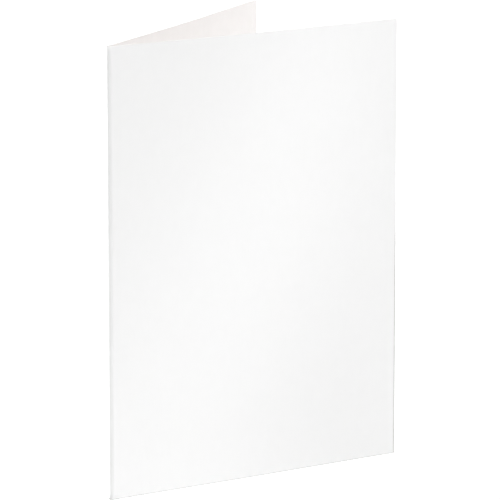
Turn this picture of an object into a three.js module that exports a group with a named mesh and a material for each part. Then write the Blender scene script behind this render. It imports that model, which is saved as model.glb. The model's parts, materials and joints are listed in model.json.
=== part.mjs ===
// White card photo folder for two prints, standing ajar as an upright V.
//
// Millimetres, with Z up. X runs from the spine to the open edges, and the
// front cover faces -Y. The origin is the middle of the footprint.
//
// The cover is one card with two creases, so it has a front leaf, a narrow
// spine and a back leaf. Inside each leaf a window mat is taped along three
// edges. The fourth edge, away from the spine, is the slot for a print.

import * as THREE from 'three';

// The print that each pocket takes, and how far the mat laps over its edges
const PRINT_WIDTH = 130;
const PRINT_HEIGHT = 180;
const MAT_LAP = 5;

// Borders of the mat, from the window to the edges of the leaf
const SIDE_BORDER = 17.5;
const END_BORDER = 20;

// Thickness of each layer, and of the glue on either face of the tape
const CARD = 0.45;
const MAT = 0.5;
const TAPE = 0.15;
const GLUE_LINE = 0.05;

// The fold: the angle between the leaves as the folder stands, the gap that
// is left between the mats when it is shut, the clearance from a crease line
// to the card on either side of it, and the distance from a crease to the mat
const OPENING_DEGREES = 32.6;
const SHUT_GAP = 0.1;
const CREASE_CLEARANCE = 0.1;
const CREASE_TO_MAT = 1.5;

// The tape keeps this far inside the edges of the mat and clear of the print,
// and its three strips keep this far apart
const TAPE_INSET = 1;
const PRINT_PLAY = 1;
const TAPE_SPACING = 1;

// Half-round thumb cut in the open edge of the mat
const THUMB_RADIUS = 9;
const THUMB_SEGMENTS = 24;

// Sizes that follow
const WINDOW_WIDTH = PRINT_WIDTH - 2 * MAT_LAP;
const WINDOW_HEIGHT = PRINT_HEIGHT - 2 * MAT_LAP;
const LEAF_WIDTH = WINDOW_WIDTH + 2 * SIDE_BORDER;
const LEAF_HEIGHT = WINDOW_HEIGHT + 2 * END_BORDER;
const POCKET = TAPE + 2 * GLUE_LINE;
const LEAF_THICKNESS = CARD + POCKET + MAT;
const SPINE_WIDTH = 2 * LEAF_THICKNESS + SHUT_GAP;
const HALF_OPENING = THREE.MathUtils.degToRad(OPENING_DEGREES / 2);

// A crease folds to a right angle when the folder is shut, so the card on
// either side of it is cut back at 45 degrees on the inside
const MITRE = CARD * Math.tan(Math.PI / 4);

// The print lies in the middle of the window
const PRINT_SIDE = SIDE_BORDER - MAT_LAP;
const PRINT_END = END_BORDER - MAT_LAP;

// The farthest reach of a leaf from the spine, at the inner corner of its mat
const FOOTPRINT_LENGTH = LEAF_WIDTH * Math.cos(HALF_OPENING) + LEAF_THICKNESS * Math.sin(HALF_OPENING);

// The front leaf is on the -Y side of the spine and the back leaf on the +Y side
const FRONT = -1;
const BACK = 1;

function coverMaterial() {
  return new THREE.MeshStandardMaterial({ color: 0xf5f5f4, roughness: 0.5, metalness: 0 });
}

function matMaterial() {
  return new THREE.MeshStandardMaterial({ color: 0xf1ece8, roughness: 0.85, metalness: 0 });
}

function tapeMaterial() {
  return new THREE.MeshStandardMaterial({ color: 0xe9e4d6, roughness: 0.6, metalness: 0 });
}

function namedMesh(name, geometry, material) {
  const mesh = new THREE.Mesh(geometry, material);
  mesh.name = name;
  return mesh;
}

// A piece of card whose plan is the same all the way up
function uprightCard(planPoints) {
  const plan = new THREE.Shape(planPoints.map(([x, y]) => new THREE.Vector2(x, y)));
  return new THREE.ExtrudeGeometry(plan, { depth: LEAF_HEIGHT, bevelEnabled: false });
}

// In a leaf, x is the distance from the crease, y is 0 on the outer face and
// z is the height. This turns a depth below the outer face into a y.
function inwards(side, depth) {
  return -side * depth;
}

function cover(name, side) {
  const inner = inwards(side, CARD);
  const plan = [
    [CREASE_CLEARANCE, 0],
    [LEAF_WIDTH, 0],
    [LEAF_WIDTH, inner],
    [CREASE_CLEARANCE + MITRE, inner],
  ];
  return namedMesh(name, uprightCard(plan), coverMaterial());
}

function spine() {
  const outerHalf = SPINE_WIDTH / 2 - CREASE_CLEARANCE;
  const innerHalf = outerHalf - MITRE;
  const plan = [
    [0, -outerHalf],
    [CARD, -innerHalf],
    [CARD, innerHalf],
    [0, outerHalf],
  ];
  return namedMesh('spine', uprightCard(plan), coverMaterial());
}

// The mat's outline as seen from the front, with the thumb cut in its open edge
function matOutline() {
  const thumbHeight = LEAF_HEIGHT / 2;
  const outline = new THREE.Shape();
  outline.moveTo(CREASE_TO_MAT, 0);
  outline.lineTo(LEAF_WIDTH, 0);
  outline.lineTo(LEAF_WIDTH, thumbHeight - THUMB_RADIUS);
  outline.absarc(LEAF_WIDTH, thumbHeight, THUMB_RADIUS, -Math.PI / 2, Math.PI / 2, true);
  outline.lineTo(LEAF_WIDTH, LEAF_HEIGHT);
  outline.lineTo(CREASE_TO_MAT, LEAF_HEIGHT);
  outline.closePath();
  return outline;
}

function windowOutline() {
  const window = new THREE.Path();
  window.moveTo(SIDE_BORDER, END_BORDER);
  window.lineTo(SIDE_BORDER, END_BORDER + WINDOW_HEIGHT);
  window.lineTo(SIDE_BORDER + WINDOW_WIDTH, END_BORDER + WINDOW_HEIGHT);
  window.lineTo(SIDE_BORDER + WINDOW_WIDTH, END_BORDER);
  window.closePath();
  return window;
}

function mat(name, side) {
  const outline = matOutline();
  outline.holes.push(windowOutline());
  const board = new THREE.ExtrudeGeometry(outline, {
    depth: MAT,
    bevelEnabled: false,
    curveSegments: THUMB_SEGMENTS,
  });
  board.translate(0, 0, -MAT / 2);
  const mesh = namedMesh(name, board, matMaterial());
  mesh.rotation.x = Math.PI / 2;
  mesh.position.y = inwards(side, CARD + POCKET + MAT / 2);
  return mesh;
}

// One strip of tape between the card and the mat, given by its edges
function tapeStrip(name, side, left, right, bottom, top) {
  const strip = new THREE.BoxGeometry(right - left, TAPE, top - bottom);
  const mesh = namedMesh(name, strip, tapeMaterial());
  mesh.position.set((left + right) / 2, inwards(side, CARD + POCKET / 2), (bottom + top) / 2);
  return mesh;
}

// Three strips round the print, with the open edge left free
function tapeStrips(leafName, side) {
  const left = CREASE_TO_MAT + TAPE_INSET;
  const right = LEAF_WIDTH - TAPE_INSET;
  const width = PRINT_END - PRINT_PLAY - TAPE_INSET;
  const lowTop = TAPE_INSET + width;
  const highBottom = LEAF_HEIGHT - lowTop;
  const stop = PRINT_SIDE - PRINT_PLAY;
  return [
    tapeStrip(`${leafName}_tape_bottom`, side, left, right, TAPE_INSET, lowTop),
    tapeStrip(`${leafName}_tape_top`, side, left, right, highBottom, LEAF_HEIGHT - TAPE_INSET),
    tapeStrip(`${leafName}_tape_spine`, side, left, stop, lowTop + TAPE_SPACING, highBottom - TAPE_SPACING),
  ];
}

// A cover with its mat and tape, turned about its crease
function leaf(leafName, side) {
  const group = new THREE.Group();
  group.add(cover(`${leafName}_cover`, side));
  group.add(mat(`${leafName}_mat`, side));
  group.add(...tapeStrips(leafName, side));
  group.position.y = side * SPINE_WIDTH / 2;
  group.rotation.z = side * HALF_OPENING;
  return group;
}

const folder = new THREE.Group();
folder.add(leaf('front', FRONT), spine(), leaf('back', BACK));
folder.position.x = -FOOTPRINT_LENGTH / 2;

export default folder;
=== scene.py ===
# %% [markdown]
# # A white photo folder, standing ajar
#
# The object is a card folder for two prints. One sheet of white card has two creases close together, so it
# has a front cover, a narrow spine and a back cover. Inside each cover lies a window mat, which three strips
# of tape hold along its edges. The open fourth edge is the slot for a print.
#
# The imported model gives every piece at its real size, in metres. This lesson dresses those pieces: it bends
# the card softly at its creases, gives each sheet its cut edges and its slight bow, and makes the paper.

# %% Load the frame
import json
import math

import bmesh
import bpy
from mathutils import Matrix, Vector, noise


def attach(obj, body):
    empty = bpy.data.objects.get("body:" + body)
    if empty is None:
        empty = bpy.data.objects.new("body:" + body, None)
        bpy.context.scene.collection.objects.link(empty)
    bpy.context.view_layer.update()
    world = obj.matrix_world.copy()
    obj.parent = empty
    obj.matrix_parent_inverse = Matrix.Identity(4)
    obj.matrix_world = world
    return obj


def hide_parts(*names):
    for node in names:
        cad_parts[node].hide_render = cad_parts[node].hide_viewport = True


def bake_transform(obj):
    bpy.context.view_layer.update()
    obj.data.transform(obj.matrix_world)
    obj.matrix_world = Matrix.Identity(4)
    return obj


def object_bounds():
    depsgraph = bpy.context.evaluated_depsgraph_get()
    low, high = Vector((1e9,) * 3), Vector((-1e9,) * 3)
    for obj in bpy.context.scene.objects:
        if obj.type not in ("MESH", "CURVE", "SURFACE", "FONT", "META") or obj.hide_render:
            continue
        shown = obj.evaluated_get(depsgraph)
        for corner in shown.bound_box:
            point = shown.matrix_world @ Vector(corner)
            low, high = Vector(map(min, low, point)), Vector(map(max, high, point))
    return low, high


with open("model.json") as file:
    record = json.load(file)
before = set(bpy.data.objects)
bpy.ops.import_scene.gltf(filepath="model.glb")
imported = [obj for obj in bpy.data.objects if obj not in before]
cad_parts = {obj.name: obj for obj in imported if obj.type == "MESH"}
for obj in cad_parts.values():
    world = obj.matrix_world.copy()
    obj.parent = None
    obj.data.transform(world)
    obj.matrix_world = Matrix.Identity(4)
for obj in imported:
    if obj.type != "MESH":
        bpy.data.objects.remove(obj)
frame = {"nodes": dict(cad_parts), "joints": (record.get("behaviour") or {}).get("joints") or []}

cad_low, cad_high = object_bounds()
print("pieces in the frame:", sorted(frame["nodes"]))

# %% [markdown]
# ## Measure the leaves
#
# A leaf is a cover with its mat and tape. Each leaf leans away from the middle, so it is easier to think of
# it laid flat: a distance from the crease, a depth below its outer face and a height. Turned parent objects
# could hold the lean, but here every object stays unturned at the origin. So matrices turn a place on the
# flat leaf into a place in the frame. The leaf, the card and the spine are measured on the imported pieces.

# %% Creases and leaves
MM = 0.001
MIRROR = {"front": 1, "back": -1}
joints = {joint["name"]: joint for joint in frame["joints"]}
HALF_OPENING = math.radians(-joints["front_crease"]["range_deg"][0])


def crease(leaf):
    """The foot of a leaf's crease."""
    x, y, _ = joints[f"{leaf}_crease"]["pos_m"]
    return Vector((x, y, 0))


def fold_matrix(leaf):
    """From places beside a crease, with x and z as in the frame and y towards the other leaf."""
    return Matrix.Translation(crease(leaf)) @ Matrix.Diagonal((1, MIRROR[leaf], 1, 1))


def leaf_matrix(leaf):
    """From (distance from the crease, depth below the outer face, height)."""
    return fold_matrix(leaf) @ Matrix.Rotation(-HALF_OPENING, 4, "Z")


print(f"each leaf leans {math.degrees(HALF_OPENING):.1f} degrees away from the middle")

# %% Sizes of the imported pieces
def leaf_box(node):
    """Lowest and highest (distance, depth, height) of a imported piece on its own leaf."""
    to_leaf = leaf_matrix(node.split("_")[0]).inverted()
    places = [to_leaf @ corner.co for corner in frame["nodes"][node].data.vertices]
    return Vector(map(min, *places)), Vector(map(max, *places))


LEAF_WIDTH, CARD, LEAF_HEIGHT = leaf_box("front_cover")[1]
SPINE_WIDTH = crease("back").y - crease("front").y
print(f"leaf {LEAF_WIDTH / MM:.2f} x {LEAF_HEIGHT / MM:.2f} mm, card {CARD / MM:.2f} mm,",
      f"spine {SPINE_WIDTH / MM:.2f} mm")

# %% [markdown]
# ## The camera
#
# A long lens from well away keeps upright edges almost parallel. The camera stands to the left of the front
# cover and a little above it, so it sees the front, a sliver of the spine and the top of the inside. It could
# be placed by eye, but here its place and lens come from fitting the folder's straight edges to the photo.

# %% Camera
AIM = Vector((9.218, -10.390, 104.844)) * MM
CAMERA_DISTANCE = 1808.7 * MM
CAMERA_AZIMUTH = math.radians(-48.282)
CAMERA_ELEVATION = math.radians(12.181)
LENS_MM = 278.86


def direction(azimuth, elevation):
    """A unit vector towards a place seen at this azimuth, where 0 is in front, and elevation."""
    level = math.cos(elevation)
    return Vector((math.sin(azimuth) * level, -math.cos(azimuth) * level, math.sin(elevation)))


def aim_at(thing, place):
    """Turns a camera or a light so that its -Z looks at a place."""
    thing.rotation_euler = (place - thing.location).to_track_quat("-Z", "Y").to_euler()


camera_data = bpy.data.cameras.new("camera")
camera_data.lens = LENS_MM
camera = bpy.data.objects.new("camera", camera_data)
camera.location = AIM + direction(CAMERA_AZIMUTH, CAMERA_ELEVATION) * CAMERA_DISTANCE
aim_at(camera, AIM)
bpy.context.scene.collection.objects.link(camera)
bpy.context.scene.camera = camera
print("camera at", [round(value, 3) for value in camera.location])

# %% [markdown]
# ## Paper finishes
#
# White paper is never one flat white. Fibres lie in clouds a few millimetres across, the paper machine
# leaves faint streaks along the sheet, and the surface has a fine tooth. Pictures of paper could be wrapped
# round the sheets, but they show seams, and they blur close by. Noise in the object's own coordinates does
# neither, so each finish mixes clouds, streaks and tooth from noise. Clouds and streaks tint the colour.
# Streaks and tooth raise a bump.

# %% Noise and numbers
# Noise keeps near one half, so this range counts as all of it
NOISE_RANGE = (0.3, 0.7)


def noise_node(tree, size, detail, stretch=1):
    """Noise whose features have this size in metres, drawn out upwards by the stretch."""
    places = tree.nodes.new("ShaderNodeTexCoord")
    mapping = tree.nodes.new("ShaderNodeMapping")
    mapping.inputs["Scale"].default_value = (1 / size, 1 / size, 1 / size / stretch)
    texture = tree.nodes.new("ShaderNodeTexNoise")
    texture.inputs["Scale"].default_value = 1
    texture.inputs["Detail"].default_value = detail
    tree.links.new(places.outputs["Object"], mapping.inputs["Vector"])
    tree.links.new(mapping.outputs["Vector"], texture.inputs["Vector"])
    return texture.outputs["Fac"]


def map_range(tree, value, given, wanted, easing="LINEAR"):
    """Turns a value in the given range into one in the wanted range."""
    node = tree.nodes.new("ShaderNodeMapRange")
    node.interpolation_type = easing
    for socket, number in zip(("From Min", "From Max", "To Min", "To Max"), (*given, *wanted)):
        node.inputs[socket].default_value = number
    tree.links.new(value, node.inputs["Value"])
    return node.outputs["Result"]


def add(tree, first, second, share):
    """The first value plus a share of the second."""
    sum_node = tree.nodes.new("ShaderNodeMath")
    sum_node.operation = "MULTIPLY_ADD"
    tree.links.new(second, sum_node.inputs[0])
    sum_node.inputs[1].default_value = share
    tree.links.new(first, sum_node.inputs[2])
    return sum_node.outputs[0]


print("noise is read from {} to {}".format(*NOISE_RANGE))

# %% A sheet of paper
CLOUD_SIZE = 5 * MM
TOOTH_SIZE = 0.25 * MM
STREAK_STRETCH = 12
STREAK_HEIGHT = 2


def tint(tree, value, dark, light):
    """A colour between two, by noise."""
    ramp = tree.nodes.new("ShaderNodeValToRGB")
    for stop, position, colour in zip(ramp.color_ramp.elements, NOISE_RANGE, (dark, light)):
        stop.position = position
        stop.color = (*colour, 1)
    tree.links.new(value, ramp.inputs["Fac"])
    return ramp.outputs["Color"]


def new_material(name):
    """A material, with its node tree and its shader."""
    material = bpy.data.materials.new(name)
    material.use_nodes = True
    return material, material.node_tree, material.node_tree.nodes["Principled BSDF"]


def paper(name, dark, light, roughness, streak_size, streak_share, bump_height):
    """A sheet of paper: its two tints, its range of roughness, and the size and height of its grain."""
    material, tree, shader = new_material(name)
    clouds = noise_node(tree, CLOUD_SIZE, detail=3)
    streaks = noise_node(tree, streak_size, detail=2, stretch=STREAK_STRETCH)
    tooth = noise_node(tree, TOOTH_SIZE, detail=2)
    mottle = add(tree, clouds, map_range(tree, streaks, NOISE_RANGE, (-1, 1)), streak_share)
    tree.links.new(tint(tree, mottle, dark, light), shader.inputs["Base Color"])
    tree.links.new(map_range(tree, tooth, NOISE_RANGE, roughness), shader.inputs["Roughness"])
    relief = tree.nodes.new("ShaderNodeBump")
    relief.inputs["Strength"].default_value = 1
    relief.inputs["Distance"].default_value = bump_height
    tree.links.new(add(tree, tooth, streaks, STREAK_HEIGHT), relief.inputs["Height"])
    tree.links.new(relief.outputs["Normal"], shader.inputs["Normal"])
    material.diffuse_color = (*light, 1)
    return material


print(f"clouds of {CLOUD_SIZE / MM:.0f} mm, tooth of {TOOTH_SIZE / MM:.2f} mm")

# %% [markdown]
# ## The papers of the folder
#
# The card is coated on its outside only, so it is neutral and satin there, and warmer and matt inside. Where
# it is cut, its bright core shows. The mats are uncoated board, matt and a little warm. The tape is tissue in
# yellowish glue. They could share one material with a colour for each, but their roughness and grain differ
# too, so one function makes a material for each.

# %% The papers
satin_card = paper("satin_card", dark=(0.893, 0.893, 0.891), light=(0.901, 0.901, 0.899),
                   roughness=(0.40, 0.50), streak_size=0.8 * MM, streak_share=0.15, bump_height=0.004 * MM)
raw_card = paper("raw_card", dark=(0.872, 0.857, 0.842), light=(0.889, 0.874, 0.860),
                 roughness=(0.72, 0.85), streak_size=1.2 * MM, streak_share=0.15, bump_height=0.006 * MM)
card_core = paper("card_core", dark=(0.955, 0.952, 0.947), light=(0.970, 0.967, 0.962),
                  roughness=(0.80, 0.90), streak_size=1.2 * MM, streak_share=0.15, bump_height=0.006 * MM)
mat_board = paper("mat_board", dark=(0.924, 0.898, 0.887), light=(0.940, 0.915, 0.905),
                  roughness=(0.78, 0.90), streak_size=1.4 * MM, streak_share=0.12, bump_height=0.006 * MM)
tissue_tape = paper("tissue_tape", dark=(0.70, 0.665, 0.575), light=(0.80, 0.775, 0.70),
                    roughness=(0.45, 0.65), streak_size=1.5 * MM, streak_share=0.2, bump_height=0.008 * MM)
print("papers:", [sheet.name for sheet in (satin_card, raw_card, card_core, mat_board, tissue_tape)])

# %% [markdown]
# ## The painted shade and highlight at the rim of the coating
#
# Beside a cut the coating's colour is painted. Low down it is painted grey, as shade, for the shaded edges and
# the shadow beside them where the folder stands. Higher up it is painted a lighter white, as a highlight on
# the lit top edge. A grey strip of faces would look painted on. So the card will carry a value which falls
# from 1 at the rim to 0 further in, and this finish fades by it from the colour of the coating to the
# painted colour of the rim.

# %% Coating with a painted shaded rim
# Below this height the rim is painted grey as shade, above the next a lighter white as a highlight
GREY_BELOW = 0.42 * LEAF_HEIGHT
LIT_ABOVE = 0.66 * LEAF_HEIGHT
PATCH_SIZE = 4 * MM
PATCH_SHARE = 0.06
RIM_ROUGHNESS = 0.6


def coating_with_painted_rim(name, coating, grey, lit):
    """A coating that fades by its painted rim value to a rim, which is painted grey as shade low down and
    lighter as a highlight higher up.
    """
    material, tree, shader = new_material(name)
    places = tree.nodes.new("ShaderNodeTexCoord")
    axes = tree.nodes.new("ShaderNodeSeparateXYZ")
    tree.links.new(places.outputs["Object"], axes.inputs["Vector"])
    height = map_range(tree, axes.outputs["Z"], (GREY_BELOW, LIT_ABOVE), NOISE_RANGE, "SMOOTHSTEP")
    patches = map_range(tree, noise_node(tree, PATCH_SIZE, detail=3), NOISE_RANGE, (-1, 1))
    shade = add(tree, height, patches, PATCH_SHARE)
    rim_shade_value = tree.nodes.new("ShaderNodeAttribute")
    rim_shade_value.attribute_name = "rim_shade"
    fade = tree.nodes.new("ShaderNodeMixRGB")
    fade.inputs["Color1"].default_value = (*coating, 1)
    tree.links.new(rim_shade_value.outputs["Fac"], fade.inputs["Fac"])
    tree.links.new(tint(tree, shade, grey, lit), fade.inputs["Color2"])
    tree.links.new(fade.outputs["Color"], shader.inputs["Base Color"])
    shader.inputs["Roughness"].default_value = RIM_ROUGHNESS
    material.diffuse_color = (*lit, 1)
    return material


# The grey is painted shade and the lighter white a painted highlight, at the rim of the coating
painted_rim_shading = coating_with_painted_rim("painted_rim_shading", coating=(0.897, 0.897, 0.895), grey=(0.32, 0.31, 0.295),
                        lit=(0.965, 0.962, 0.957))
print(f"{painted_rim_shading.name}: grey below {GREY_BELOW / MM:.0f} mm, clean above {LIT_ABOVE / MM:.0f} mm")

# %% [markdown]
# ## How card bends
#
# No card is quite flat. Both leaves share one shallow bow, which pushes the front out and the back in, so
# they still nest when the folder shuts. At the top and bottom of the spine the pressed creases spread a
# little, because nothing holds the fibres there. A cloth simulation could bend the sheets, but each would
# bend its own way. Two short formulas move the finished meshes instead, so sheets that lie together bend
# together.

# %% Bow and spread
BOW_TOP = 1.1 * MM
BOW_BOTTOM = 0.4 * MM
WAVE = 0.12 * MM
WAVE_LENGTH = 70 * MM
SPREAD = 1.0 * MM
SPREAD_HEIGHT = 0.8 * MM
SPREAD_REACH = 1.2 * MM


def bow(along, height):
    """How far either leaf stands off flat, at this distance from its crease and this height."""
    share = min(max(along / LEAF_WIDTH, 0), 1)
    wave = noise.noise(Vector((along, height, 0)) / WAVE_LENGTH)
    rise = BOW_BOTTOM + (BOW_TOP - BOW_BOTTOM) * height / LEAF_HEIGHT
    return rise * math.sin(math.pi * share) ** 2 + WAVE * wave * share


def spread(along, height):
    """How far the ends of the fold are pushed outwards."""
    ends = math.exp(-height / SPREAD_HEIGHT) + math.exp(-(LEAF_HEIGHT - height) / SPREAD_HEIGHT)
    return SPREAD * ends * math.exp(-(max(along, 0) / SPREAD_REACH) ** 2)


def bend_leaf(bm, leaf):
    """Bows a sheet that lies in its leaf: front leaves outwards, back leaves inwards."""
    for vert in bm.verts:
        vert.co.y -= MIRROR[leaf] * bow(vert.co.x, vert.co.z)


print(f"bow at the middle {bow(LEAF_WIDTH / 2, LEAF_HEIGHT / 2) / MM:.2f} mm,",
      f"spread at the ends {spread(0, 0) / MM:.2f} mm")

# %% [markdown]
# ## Helpers for sheets
#
# A sheet is a flat face, sliced into small faces so that it can bend, then pulled out to its thickness. A
# knife leaves an edge that is crisp but not perfect, so each rim gets a very small bevel. A slice close to
# each rim keeps the smooth shading of the bevel from creeping across the sheet. A bevel modifier could round
# whole objects, but the seams where two pieces meet have to stay sharp, so the edges are chosen one by one.

# %% Slices and thickness
GRID = 5 * MM
NEAR_RIM = 0.25 * MM
TINY = 0.001 * MM


def steps(low, high):
    """Even steps of about the grid, with one step close to each end."""
    count = max(2, round((high - low) / GRID))
    even = [low + (high - low) * step / count for step in range(1, count)]
    return [low + NEAR_RIM, *even, high - NEAR_RIM]


def slice_at(bm, axis, places):
    """Cuts a mesh across at each place along an axis."""
    normal = Vector(axis)
    for place in places:
        bmesh.ops.bisect_plane(bm, geom=[*bm.verts, *bm.edges, *bm.faces], dist=TINY,
                               plane_co=normal * place, plane_no=normal)


def only(kind, parts):
    """The parts of one kind among those that an operator returns."""
    return [part for part in parts if isinstance(part, kind)]


def pull_out(bm, offset):
    """Gives a flat sheet of faces its thickness or height and turns all its faces outwards."""
    pulled = bmesh.ops.extrude_face_region(bm, geom=bm.faces[:])["geom"]
    bmesh.ops.translate(bm, verts=only(bmesh.types.BMVert, pulled), vec=offset)
    bmesh.ops.recalc_face_normals(bm, faces=bm.faces[:])


print(f"a sheet as wide as a leaf is sliced {len(steps(0, LEAF_WIDTH))} times")

# %% Bevels and finished pieces
RIM = 0.05 * MM
RIM_STEPS = 2
SHARP_CORNER = math.radians(40)


def soften(bm, is_seam=lambda place: False):
    """Bevels every sharp rim, but keeps the seams where two pieces meet as sharp edges."""
    rim_edges = []
    for edge in bm.edges:
        if edge.calc_face_angle(0) < SHARP_CORNER:
            continue
        if all(is_seam(vert.co) for vert in edge.verts):
            edge.smooth = False
        else:
            rim_edges.append(edge)
    bmesh.ops.bevel(bm, geom=rim_edges, offset=RIM, offset_type="OFFSET", segments=RIM_STEPS, profile=0.5,
                    affect="EDGES", material=-1, clamp_overlap=True)


def finish_piece(bm, name, matrix, materials):
    """Puts a mesh in its place in the frame and makes an object of it."""
    bm.transform(matrix)
    if matrix.determinant() < 0:
        bmesh.ops.reverse_faces(bm, faces=bm.faces[:])
    for face in bm.faces:
        face.smooth = True
    mesh = bpy.data.meshes.new(name)
    bm.to_mesh(mesh)
    bm.free()
    for material in materials:
        mesh.materials.append(material)
    piece = bpy.data.objects.new(name, mesh)
    bpy.context.scene.collection.objects.link(piece)
    print(f"{name}: {len(mesh.polygons)} faces")
    return piece


print(f"each rim is rounded by {RIM / MM:.2f} mm in {RIM_STEPS} steps")

# %% [markdown]
# ## The creased card
#
# The cover is one sheet that turns through most of a right angle at each crease. A bend modifier could curl a
# flat sheet, but its curl is hard to place on the line of a crease. So the card is drawn in plan: an edge as
# long as the card is thick starts on the spine, spins round the crease and runs along the leaf. Pulling that
# strip up makes the card, with an even thickness all round the bend. More rows near its top and bottom let
# the ends of the fold spread.

# %% The card in plan
SPINE_SHARE = 0.95 * MM
ROWS_NEAR_ENDS = [0.6 * MM, 1.0 * MM, 1.6 * MM, 2.4 * MM, 3.5 * MM]


def start_edge(bm, y):
    """An edge through the thickness of the spine, with its outer end on x = 0."""
    outer = bm.verts.new((0, y, 0))
    inner = bm.verts.new((CARD, y, 0))
    return bm.edges.new((outer, inner))


def run(bm, edge, offset):
    """Draws an edge out into a strip and returns the edge at its far end."""
    drawn = bmesh.ops.extrude_edge_only(bm, edges=[edge])["geom"]
    far_verts = only(bmesh.types.BMVert, drawn)
    bmesh.ops.translate(bm, verts=far_verts, vec=offset)
    return next(side for side in only(bmesh.types.BMEdge, drawn)
                if side.is_boundary and all(vert in far_verts for vert in side.verts))


def raise_card(bm):
    """Pulls a strip drawn in plan up to the height of the leaf, in rows."""
    pull_out(bm, Vector((0, 0, LEAF_HEIGHT)))
    near_top = [LEAF_HEIGHT - row for row in ROWS_NEAR_ENDS]
    slice_at(bm, (0, 0, 1), [*steps(0, LEAF_HEIGHT), *ROWS_NEAR_ENDS, *near_top])


print(f"the seams lie {SPINE_SHARE / MM:.2f} mm in from each crease")

# %% [markdown]
# ## Coating, inside, rim and core
#
# Four finishes share the card: the coating outside, the raw inside, the coating's rim with its painted shade
# and highlight, and the core where the knife went through. A mask could mix them in one material, but the
# faces already end where the finishes do, so each face gets the slot of its own finish. The share of painted
# rim colour that the rim's finish reads is stored with the verts. On the outside of the fore-edge the painted
# shade reaches further in.

# %% Finishes of the card
CARD_FINISHES = [satin_card, raw_card, painted_rim_shading, card_core]
COATING_SLOT, INSIDE_SLOT, RIM_SHADE_SLOT, CORE_SLOT = range(len(CARD_FINISHES))
# How far in the painted shade reaches on the outside of the fore-edge
FORE_EDGE_SHADE_REACH = 0.6 * MM
BARELY_SHADED = 0.01


def rims(place):
    """The distances from the nearer end and from the fore-edge, each with how far in the rim's painted shade
    reaches.
    """
    shade_reach = FORE_EDGE_SHADE_REACH if place.y < CARD / 2 else NEAR_RIM
    return (min(place.z, LEAF_HEIGHT - place.z), NEAR_RIM), (LEAF_WIDTH - place.x, shade_reach)


def rim_shade_at(distance, reach):
    """How much painted rim colour the coating takes this far from a rim: all at the bevel, and none past the
    reach.
    """
    return min(max((reach - distance) / (reach - 2 * RIM), 0), 1)


def coat(bm, outside, on_leaf):
    """Gives each vert its share of painted rim colour and each face the slot of its finish."""
    rim_shade = bm.verts.layers.float.new("rim_shade")
    for vert in bm.verts:
        vert[rim_shade] = max(rim_shade_at(distance, reach) for distance, reach in rims(on_leaf(vert.co)))
    for face in bm.faces:
        to_rim = min(distance for distance, _ in rims(on_leaf(face.calc_center_median())))
        if to_rim < RIM / 2:
            face.material_index = CORE_SLOT
        elif any(vert[rim_shade] > BARELY_SHADED for vert in face.verts):
            face.material_index = RIM_SHADE_SLOT
        else:
            face.material_index = COATING_SLOT if outside(face) else INSIDE_SLOT


print("card finishes by slot:", [finish.name for finish in CARD_FINISHES])

# %% [markdown]
# ## The two covers
#
# Each cover takes in its crease and a share of the spine, so that the seams lie in the spine's flat. Inside a
# pressed crease the fibres swell into a bead. It could be sculpted, but a sine along the bend moves the inner
# side of the spun card just as well, and both covers get the same bead.

# %% The crease
CREASE_RADIUS = 1.2 * MM
CREASE_STEPS = 10
CREASE_TURN = math.pi / 2 - HALF_OPENING
BEAD = 0.35 * MM
LOOKS_OUT = 0.8
LOOKS_UP = 0.3
to_flat_leaf = Matrix.Rotation(HALF_OPENING, 4, "Z")
crease_tangent = CREASE_RADIUS * math.tan(CREASE_TURN / 2)
crease_middle = Vector((CREASE_RADIUS, crease_tangent, 0))


def swell_inside(bm):
    """Raises the bead of pressed fibres on the inside of the bend, where it is tightest."""
    for vert in bm.verts:
        arm = vert.co - crease_middle
        if abs(arm.length - (CREASE_RADIUS - CARD)) < TINY:
            turn = math.atan2(-arm.y, -arm.x)
            vert.co -= arm.normalized() * BEAD * math.sin(math.pi * turn / CREASE_TURN) ** 2


def is_outside(face):
    """True for a face of a cover that looks out of the folder and isn't a cut edge."""
    centre = face.calc_center_median()
    if abs(face.normal.z) > LOOKS_UP:
        return False
    if centre.y > crease_middle.y:
        return face.normal.x < -LOOKS_OUT
    if (to_flat_leaf @ centre).x > (to_flat_leaf @ crease_middle).x:
        return (to_flat_leaf.to_3x3() @ face.normal).y < -LOOKS_OUT
    arm = centre - crease_middle
    return face.normal.dot(Vector((arm.x, arm.y, 0))) > 0


print(f"each crease turns {math.degrees(CREASE_TURN):.1f} degrees on a radius of {CREASE_RADIUS / MM:.1f} mm")

# %% Front and back covers
def draw_cover(bm):
    """Draws a cover in plan, from its seam on the spine round the crease to its fore-edge."""
    edge = start_edge(bm, SPINE_SHARE)
    edge = run(bm, edge, Vector((0, crease_tangent - SPINE_SHARE, 0)))
    spun = bmesh.ops.spin(bm, geom=[edge, *edge.verts], cent=crease_middle, axis=(0, 0, 1),
                          angle=CREASE_TURN, steps=CREASE_STEPS, use_merge=False)
    edge = only(bmesh.types.BMEdge, spun["geom_last"])[0]
    swell_inside(bm)
    along = Vector((math.cos(HALF_OPENING), -math.sin(HALF_OPENING), 0))
    place = crease_tangent
    # The slice short of the fore-edge ends the strip of painted shade
    for stop in sorted([*steps(crease_tangent, LEAF_WIDTH), LEAF_WIDTH - FORE_EDGE_SHADE_REACH, LEAF_WIDTH]):
        edge = run(bm, edge, along * (stop - place))
        place = stop
    bmesh.ops.remove_doubles(bm, verts=bm.verts[:], dist=TINY)


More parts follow.
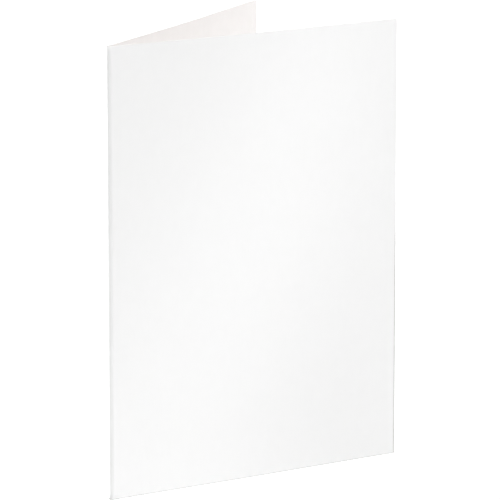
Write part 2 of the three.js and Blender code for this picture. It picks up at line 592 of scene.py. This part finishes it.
def cover(leaf, name):
    """A leaf of the cover with its crease and its share of the spine."""
    bm = bmesh.new()
    draw_cover(bm)
    raise_card(bm)
    soften(bm, is_seam=lambda co: co.y > SPINE_SHARE - TINY)
    bm.normal_update()
    coat(bm, is_outside, on_leaf=lambda place: to_flat_leaf @ place)
    for vert in bm.verts:
        vert.co.x -= spread((to_flat_leaf @ vert.co).x, vert.co.z)
    bm.transform(to_flat_leaf)
    bend_leaf(bm, leaf)
    return finish_piece(bm, name, leaf_matrix(leaf), CARD_FINISHES)


front_cover = cover("front", "front_cover_card")
back_cover = cover("back", "back_cover_card")

# %% [markdown]
# ## The spine
#
# What is left of the card is the flat strip between the two seams. It could be part of one of the covers, but
# both covers turn on it and it doesn't turn with either, so it is a piece of its own.

# %% Spine
def spine(name):
    """The flat of the spine between the two covers' seams."""
    bm = bmesh.new()
    far_seam = SPINE_WIDTH - SPINE_SHARE
    edge = start_edge(bm, SPINE_SHARE)
    for half in range(2):
        edge = run(bm, edge, Vector((0, (far_seam - SPINE_SHARE) / 2, 0)))
    raise_card(bm)
    soften(bm, is_seam=lambda co: min(co.y - SPINE_SHARE, far_seam - co.y) < TINY)
    bm.normal_update()
    coat(bm, lambda face: face.normal.x < -LOOKS_OUT, on_leaf=lambda place: Vector((0, place.x, place.z)))
    for vert in bm.verts:
        vert.co.x -= spread(0, vert.co.z)
    return finish_piece(bm, name, fold_matrix("front"), CARD_FINISHES)


spine_piece = spine("spine_card")

# %% [markdown]
# ## The window mats
#
# A mat is a board with a window for the picture and a half-round thumb cut in its open edge. Booleans could
# cut both, but they leave long thin faces that shade badly once the board bends. So the mat starts as one
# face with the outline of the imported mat. Slices along the window's edges let the window drop out cleanly. A
# square of the board by the thumb cut is taken out too, and bridged back to a spun half circle, so that every
# face round the cut has four corners.

# %% Cuts in a board
THUMB_RADIUS = 9 * MM
THUMB_SQUARE = 15 * MM


def drop_out(bm, low, high):
    """Takes out the faces between two places on the sheet."""
    inside = []
    for face in bm.faces:
        middle = face.calc_center_median()
        if low[0] < middle.x < high[0] and low[1] < middle.z < high[1]:
            inside.append(face)
    bmesh.ops.delete(bm, geom=inside, context="FACES")


def cut_thumb(bm, middle):
    """Bridges the missing square by the open edge to a half circle."""
    square = (middle.x - THUMB_SQUARE, middle.z - THUMB_SQUARE), (middle.x, middle.z + THUMB_SQUARE)
    drop_out(bm, *square)
    rim = []
    for edge in bm.edges:
        centre = (edge.verts[0].co + edge.verts[1].co) / 2
        by_square = abs(centre.z - middle.z) < THUMB_SQUARE + TINY and centre.x > square[0][0] - TINY
        if edge.is_boundary and by_square:
            rim.append(edge)
    start = bm.verts.new((middle.x, middle.y, middle.z - THUMB_RADIUS))
    bmesh.ops.spin(bm, geom=[start], cent=middle, axis=(0, 1, 0), angle=math.pi,
                   steps=len(rim), use_merge=False)
    arc = [edge for edge in bm.edges if edge.is_wire]
    bmesh.ops.bridge_loops(bm, edges=[*rim, *arc])


print(f"thumb cut of {THUMB_RADIUS / MM:.0f} mm radius")

# %% Mats
SIDE_BORDER = 17.5 * MM
END_BORDER = 20 * MM


def flat_sheet(bm, low, high):
    """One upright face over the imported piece's outline, at its outer depth."""
    corners = [(low.x, low.z), (high.x, low.z), (high.x, high.z), (low.x, high.z)]
    bm.faces.new([bm.verts.new((x, low.y, z)) for x, z in corners])


def mat(leaf, name):
    """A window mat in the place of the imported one."""
    low, high = leaf_box(f"{leaf}_mat")
    window = (SIDE_BORDER, END_BORDER), (LEAF_WIDTH - SIDE_BORDER, LEAF_HEIGHT - END_BORDER)
    thumb = Vector((high.x, low.y, LEAF_HEIGHT / 2))
    bm = bmesh.new()
    flat_sheet(bm, low, high)
    columns = [low.x, window[0][0], window[1][0], high.x - THUMB_SQUARE, high.x]
    rows = [low.z, window[0][1], thumb.z - THUMB_SQUARE, thumb.z + THUMB_SQUARE, window[1][1], high.z]
    for axis, lines in (((1, 0, 0), columns), ((0, 0, 1), rows)):
        slice_at(bm, axis, lines[1:-1])
        for start, stop in zip(lines, lines[1:]):
            slice_at(bm, axis, steps(start, stop))
    drop_out(bm, *window)
    cut_thumb(bm, thumb)
    pull_out(bm, Vector((0, high.y - low.y, 0)))
    soften(bm)
    bend_leaf(bm, leaf)
    return finish_piece(bm, name, leaf_matrix(leaf), [mat_board])


front_mat = mat("front", "front_window_mat")
back_mat = mat("back", "back_window_mat")

# %% [markdown]
# ## The tape
#
# Double-sided tissue tape holds each mat along its top, its bottom and its spine edge, hidden between the
# sheets. A strip could be a plain box, but the bowed sheets would cut through it. So each strip is a thin
# sheet with the same bow.

# %% Tape strips
def tape(leaf, edge_name):
    """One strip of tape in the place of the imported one."""
    low, high = leaf_box(f"{leaf}_tape_{edge_name}")
    bm = bmesh.new()
    flat_sheet(bm, low, high)
    slice_at(bm, (1, 0, 0), steps(low.x, high.x))
    slice_at(bm, (0, 0, 1), steps(low.z, high.z))
    pull_out(bm, Vector((0, high.y - low.y, 0)))
    soften(bm)
    bend_leaf(bm, leaf)
    return finish_piece(bm, f"{leaf}_tissue_{edge_name}", leaf_matrix(leaf), [tissue_tape])


tapes = {}
for leaf in MIRROR:
    for edge_name in ("bottom", "top", "spine"):
        tapes[leaf, edge_name] = tape(leaf, edge_name)

# %% [markdown]
# ## Let the pieces move
#
# The folder moves at its two creases. A mat and its tape ride on their leaf, and the flat of the spine rides
# on the spine. A cover could ride on its leaf too, but then its crease would swing out as one stiff piece.
# Here each cover's place is only baked into its mesh, and it rides on no body.


def bend_at_crease(piece):
    """Bakes a cover's place into its mesh; it is attached to no body."""
    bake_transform(piece)


for leaf, cover_piece, mat_piece in (("front", front_cover, front_mat), ("back", back_cover, back_mat)):
    bend_at_crease(cover_piece)
    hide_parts(f"{leaf}_cover")
    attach(mat_piece, f"{leaf}_leaf")
    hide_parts(f"{leaf}_mat")
for (leaf, edge_name), strip in tapes.items():
    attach(strip, f"{leaf}_leaf")
    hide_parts(f"{leaf}_tape_{edge_name}")
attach(spine_piece, "spine")
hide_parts("spine")
print("dressed nodes:", sorted(frame["nodes"]))

# %% [markdown]
# ## Table and backdrop
#
# White paper on a white table needs a table that burns out to pure white while the paper keeps some shade.
# More lamp light would burn out the paper as well. So the table glows a little by itself, and more towards
# its edge, where less lamp light falls on it. A white dome, which only the camera sees, closes the background
# behind it.

# %% Pieces of the studio
def stage_piece(name, bm, white):
    """A plain glowing object of the studio, which isn't part of the folder."""
    mesh = bpy.data.meshes.new(name)
    bm.to_mesh(mesh)
    bm.free()
    material, _, shader = new_material(name)
    shader.inputs["Base Color"].default_value = (white, white, white, 1)
    shader.inputs["Roughness"].default_value = 1
    shader.inputs["Specular IOR Level"].default_value = 0
    shader.inputs["Emission Color"].default_value = (1, 1, 1, 1)
    shader.inputs["Emission Strength"].default_value = 1
    mesh.materials.append(material)
    piece = bpy.data.objects.new(name, mesh)
    bpy.context.scene.collection.objects.link(piece)
    print(f"{name}: {len(mesh.polygons)} faces")
    return piece


# %% Table
TABLE_RADIUS = 1.6
TABLE_WHITE = 0.8
GLOW_REACH = (0.3, 1.4)
GLOW = (0.374, 0.75)


def glow_outwards(tree):
    """Makes a table glow more away from its middle."""
    places = tree.nodes.new("ShaderNodeTexCoord")
    distance = tree.nodes.new("ShaderNodeVectorMath")
    distance.operation = "LENGTH"
    tree.links.new(places.outputs["Object"], distance.inputs[0])
    glow = map_range(tree, distance.outputs["Value"], GLOW_REACH, GLOW, "SMOOTHSTEP")
    tree.links.new(glow, tree.nodes["Principled BSDF"].inputs["Emission Strength"])


table_bm = bmesh.new()
bmesh.ops.create_circle(table_bm, cap_ends=True, segments=96, radius=TABLE_RADIUS)
table = stage_piece("table", table_bm, TABLE_WHITE)
glow_outwards(table.active_material.node_tree)

# %% Dome
DOME_RADIUS = 6.0

dome_bm = bmesh.new()
bmesh.ops.create_uvsphere(dome_bm, u_segments=48, v_segments=24, radius=DOME_RADIUS)
dome = stage_piece("dome", dome_bm, white=0)
dome.visible_diffuse = False
dome.visible_glossy = False
dome.visible_transmission = False
dome.visible_volume_scatter = False
dome.visible_shadow = False

# %% [markdown]
# ## Lamps
#
# Under an even sky, three wide lamps stand round the folder, as in a light tent. The key lamp is to the left
# of the front cover. The fill lamp is to its right, where it also looks into the fold. The rear lamp lights
# the back cover, and passes over it to the front cover's inside, which throws that light on into the fold.
# One large lamp could light it all, but then the front cover would look flat. So a last lamp, a spot with a
# soft oval beam that leans to the right, lays a broad sheen across the front cover.

# %% Sky
SKY = 0.25
world = bpy.data.worlds.new("sky")
world.use_nodes = True
world.node_tree.nodes["Background"].inputs["Color"].default_value = (1, 1, 1, 1)
world.node_tree.nodes["Background"].inputs["Strength"].default_value = SKY
bpy.context.scene.world = world
# The Standard view shows a full white as full white
bpy.context.scene.view_settings.view_transform = "Standard"
print("sky strength", SKY)

# %% Wide lamps
def lamp(name, kind, target, azimuth, elevation, distance, power):
    """A lamp that looks at a place from some way off and stays out of the picture itself."""
    data = bpy.data.lights.new(name, kind)
    data.energy = power
    thing = bpy.data.objects.new(name, data)
    thing.location = target + direction(math.radians(azimuth), math.radians(elevation)) * distance
    aim_at(thing, target)
    thing.visible_camera = False
    bpy.context.scene.collection.objects.link(thing)
    print(f"{name} lamp at", [round(value, 2) for value in thing.location])
    return thing


def wide_lamp(name, azimuth, elevation, distance, size, power):
    """A round lamp, as wide as a large umbrella, that looks at the middle of the folder."""
    thing = lamp(name, "AREA", (cad_low + cad_high) / 2, azimuth, elevation, distance, power)
    thing.data.shape = "DISK"
    thing.data.size = size


wide_lamp("key", azimuth=-60, elevation=28, distance=4.2, size=2.6, power=52.7)
wide_lamp("fill", azimuth=45, elevation=42, distance=2.6, size=1.6, power=31.9)
wide_lamp("rear", azimuth=165, elevation=40, distance=2.6, size=1.6, power=40.0)

# %% Sheen
SHEEN_PLACE = Vector((56 * MM, 0, 75 * MM))
SHEEN_WIDTH = 141 * MM
SHEEN_LENGTH = 570 * MM
SHEEN_LEAN = math.radians(24)
SHEEN_DISTANCE = 1.5
SHEEN_SOURCE = 40 * MM

sheen = lamp("sheen", "SPOT", leaf_matrix("front") @ SHEEN_PLACE, azimuth=-math.degrees(HALF_OPENING),
             elevation=3, distance=SHEEN_DISTANCE, power=7.5)
sheen.data.shadow_soft_size = SHEEN_SOURCE
sheen.data.spot_size = 2 * math.atan(SHEEN_WIDTH / 2 / SHEEN_DISTANCE)
sheen.data.spot_blend = 1
sheen.rotation_euler.rotate_axis("Z", -SHEEN_LEAN)
sheen.scale.y = SHEEN_LENGTH / SHEEN_WIDTH
